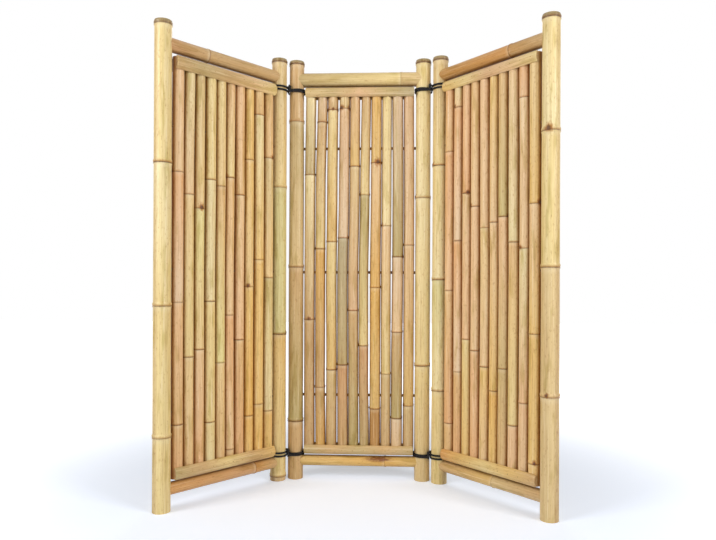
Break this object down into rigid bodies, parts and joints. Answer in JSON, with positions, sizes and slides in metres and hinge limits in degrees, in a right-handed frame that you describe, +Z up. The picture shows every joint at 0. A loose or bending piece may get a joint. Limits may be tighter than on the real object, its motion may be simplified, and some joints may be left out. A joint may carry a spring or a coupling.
{
  "type": "bamboo room divider",
  "caption": "Free-standing folding screen of bamboo culm panels, lashed post to post with black cord so that each side panel swings and folds flat.",
  "frame": {"origin": "on the floor, at the middle of the part's outline seen from above", "axes": "+Z up, X along the centre panel, -Y to the front, the way that the side panels swing forward"},
  "size_m": [1.4763, 0.5199, 1.8],
  "materials": {
    "posts": "smooth waxy bamboo skin",
    "rails": "smooth waxy bamboo skin",
    "battens": "split bamboo, matt skin",
    "slats": "bamboo skin, satin",
    "turned_wood": "turned, bare",
    "rods": "dark stained",
    "nails": "dull",
    "cord": "braided, slight sheen"
  },
  "bodies": {
    "left_panel": {"left_outer_post": "posts", "left_inner_post": "posts", "left_top_rail": "rails", "left_top_battens": "battens", "left_bottom_rail": "rails", "left_bottom_battens": "battens", "left_rail_plugs": "turned_wood", "left_slat_01": "slats", "left_slat_02": "slats", "left_slat_03": "slats", "left_slat_04": "slats", "left_slat_05": "slats", "left_slat_06": "slats", "left_slat_07": "slats", "left_slat_08": "slats", "left_slat_09": "slats", "left_slat_10": "slats", "left_rods": "rods", "left_nails": "nails"},
    "centre_panel": {"centre_left_post": "posts", "centre_right_post": "posts", "centre_top_rail": "rails", "centre_top_battens": "battens", "centre_bottom_rail": "rails", "centre_bottom_battens": "battens", "centre_rail_plugs": "turned_wood", "centre_slat_01": "slats", "centre_slat_02": "slats", "centre_slat_03": "slats", "centre_slat_04": "slats", "centre_slat_05": "slats", "centre_slat_06": "slats", "centre_slat_07": "slats", "centre_slat_08": "slats", "centre_slat_09": "slats", "centre_slat_10": "slats", "centre_rods": "rods", "centre_nails": "nails"},
    "right_panel": {"right_inner_post": "posts", "right_outer_post": "posts", "right_top_rail": "rails", "right_top_battens": "battens", "right_bottom_rail": "rails", "right_bottom_battens": "battens", "right_rail_plugs": "turned_wood", "right_slat_01": "slats", "right_slat_02": "slats", "right_slat_03": "slats", "right_slat_04": "slats", "right_slat_05": "slats", "right_slat_06": "slats", "right_slat_07": "slats", "right_slat_08": "slats", "right_slat_09": "slats", "right_slat_10": "slats", "right_rods": "rods", "right_nails": "nails"},
    "left_lashing": {"left_lashings": "cord"},
    "right_lashing": {"right_lashings": "cord"}
  },
  "joints": [
    {"name": "left_lashing_swing", "type": "hinge", "parent": "centre_panel", "child": "left_lashing", "pos_m": [-0.27326, 0.21904, 0], "axis": [0, 0, 1], "range_deg": [-47, 65.5]},
    {"name": "left_panel_swing", "type": "hinge", "parent": "left_lashing", "child": "left_panel", "pos_m": [-0.34418, 0.18672, 0], "axis": [0, 0, 1], "range_deg": [-47, 65.5]},
    {"name": "right_lashing_swing", "type": "hinge", "parent": "centre_panel", "child": "right_lashing", "pos_m": [0.27326, 0.21904, 0], "axis": [0, 0, -1], "range_deg": [-114.5, 5.5]},
    {"name": "right_panel_swing", "type": "hinge", "parent": "right_lashing", "child": "right_panel", "pos_m": [0.34418, 0.18672, 0], "axis": [0, 0, -1], "range_deg": [-114.5, 5.5]}
  ],
  "couplings": [
    {"joint": "left_panel_swing", "follows": "left_lashing_swing", "ratio": 1},
    {"joint": "right_panel_swing", "follows": "right_lashing_swing", "ratio": 1}
  ]
}
